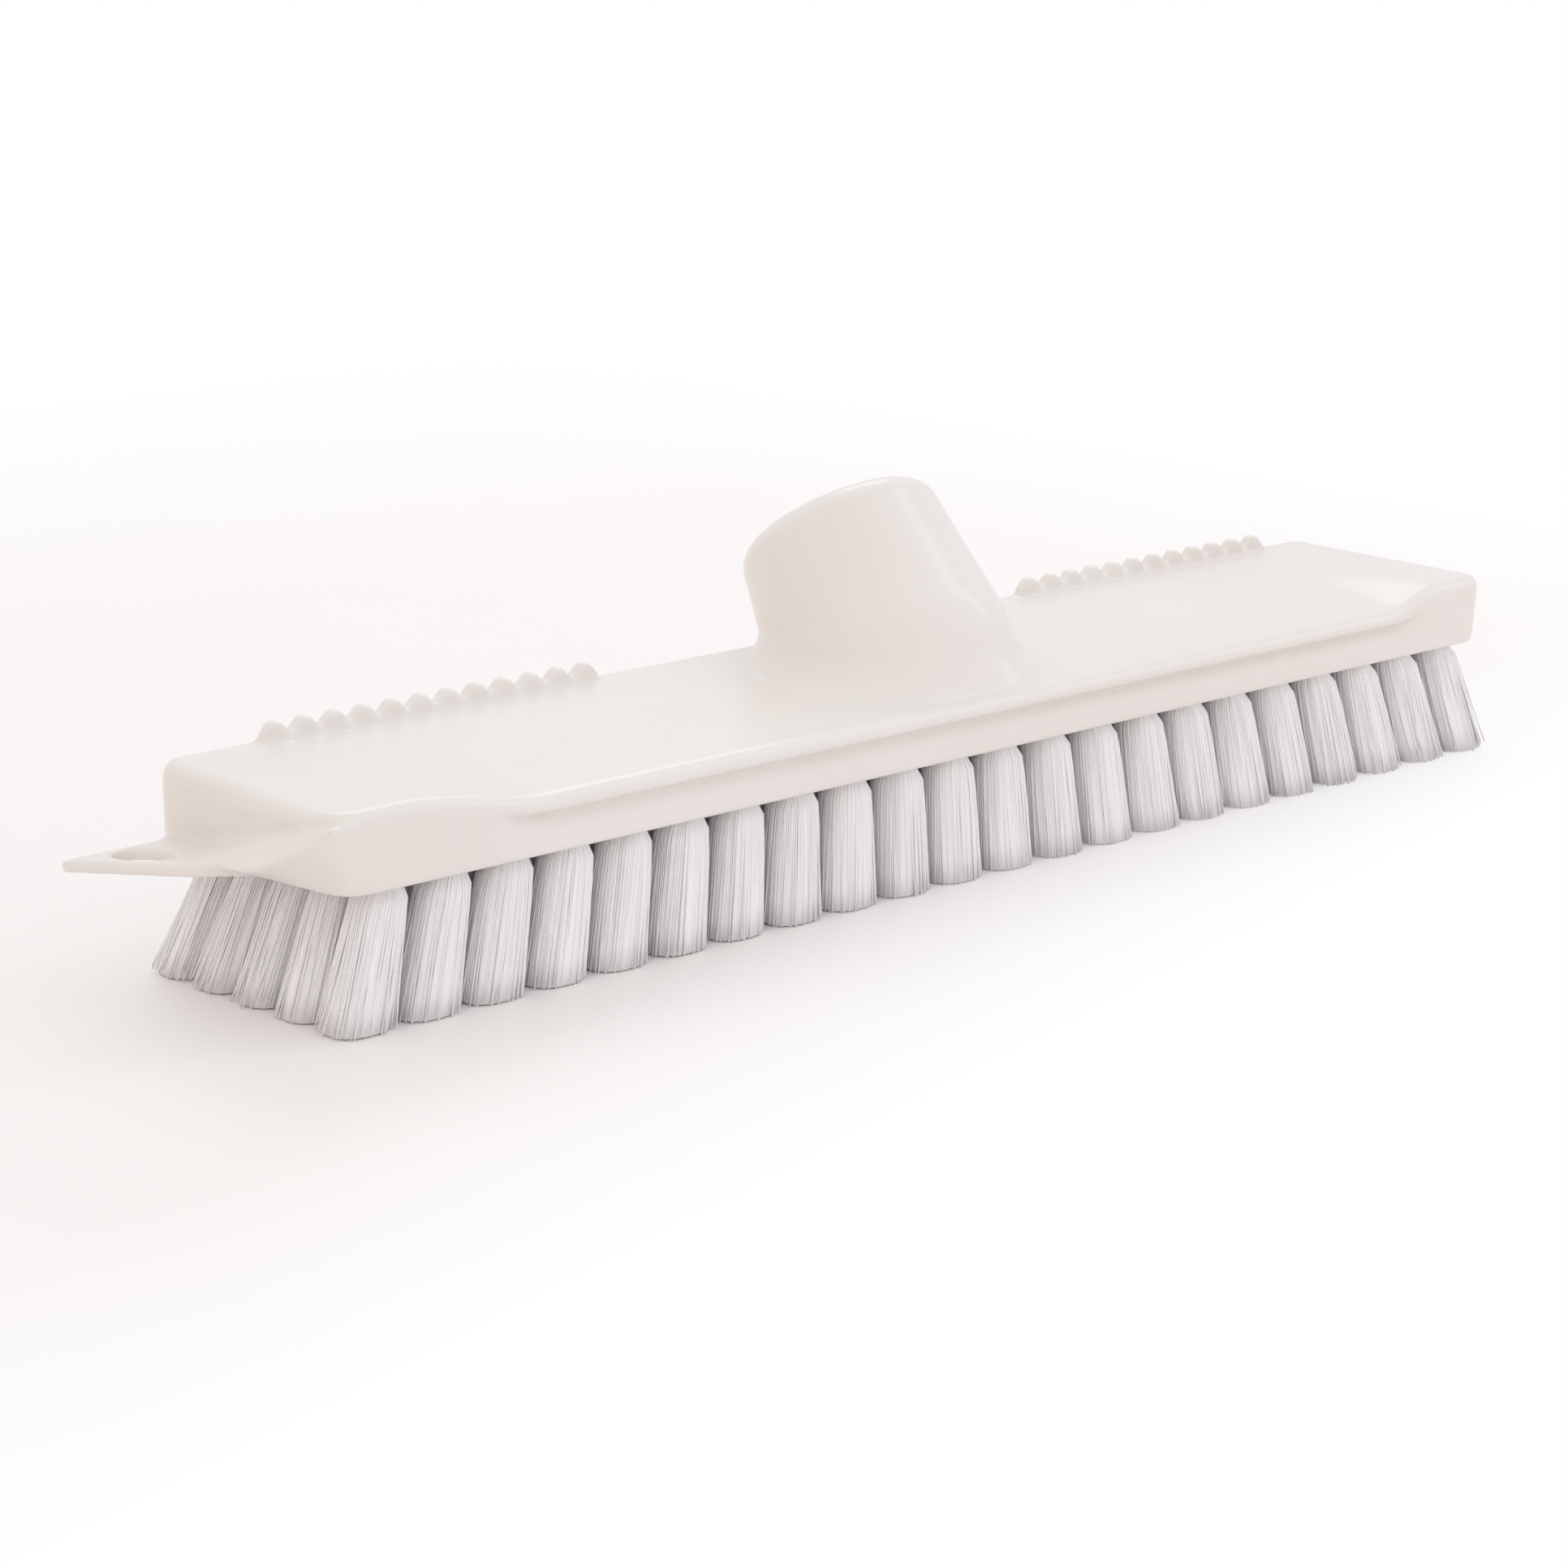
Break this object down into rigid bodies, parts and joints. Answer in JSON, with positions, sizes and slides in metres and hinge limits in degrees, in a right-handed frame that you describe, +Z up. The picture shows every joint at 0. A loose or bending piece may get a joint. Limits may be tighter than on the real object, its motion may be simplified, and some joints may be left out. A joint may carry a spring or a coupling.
{
  "type": "floor scrub brush",
  "caption": "Floor scrub brush head: long moulded block with a leaning handle socket, finger scoops, small teeth, a hang tab and stiff flared bristle tufts.",
  "frame": {"origin": "middle of the base of the bounding box, on the floor that the bristle tips stand on", "axes": "+X along the block away from the hang tab, +Y towards the side the handle socket leans to, +Z up"},
  "size_m": [0.3376, 0.063, 0.0753],
  "materials": {
    "block": "glossy moulded plastic, slightly warm white",
    "bristles": "stiff off-white filaments with a soft sheen"
  },
  "bodies": {
    "root": {"block": "block", "tuft_row_01": "bristles", "tuft_row_02": "bristles", "tuft_row_03": "bristles", "tuft_row_04": "bristles", "tuft_row_05": "bristles", "tuft_row_06": "bristles", "tuft_row_07": "bristles", "tuft_row_08": "bristles", "tuft_row_09": "bristles", "tuft_row_10": "bristles", "tuft_row_11": "bristles", "tuft_row_12": "bristles", "tuft_row_13": "bristles", "tuft_row_14": "bristles", "tuft_row_15": "bristles", "tuft_row_16": "bristles", "tuft_row_17": "bristles", "tuft_row_18": "bristles", "tuft_row_19": "bristles", "tuft_row_20": "bristles", "tuft_row_21": "bristles", "tuft_row_22": "bristles"}
  },
  "joints": []
}
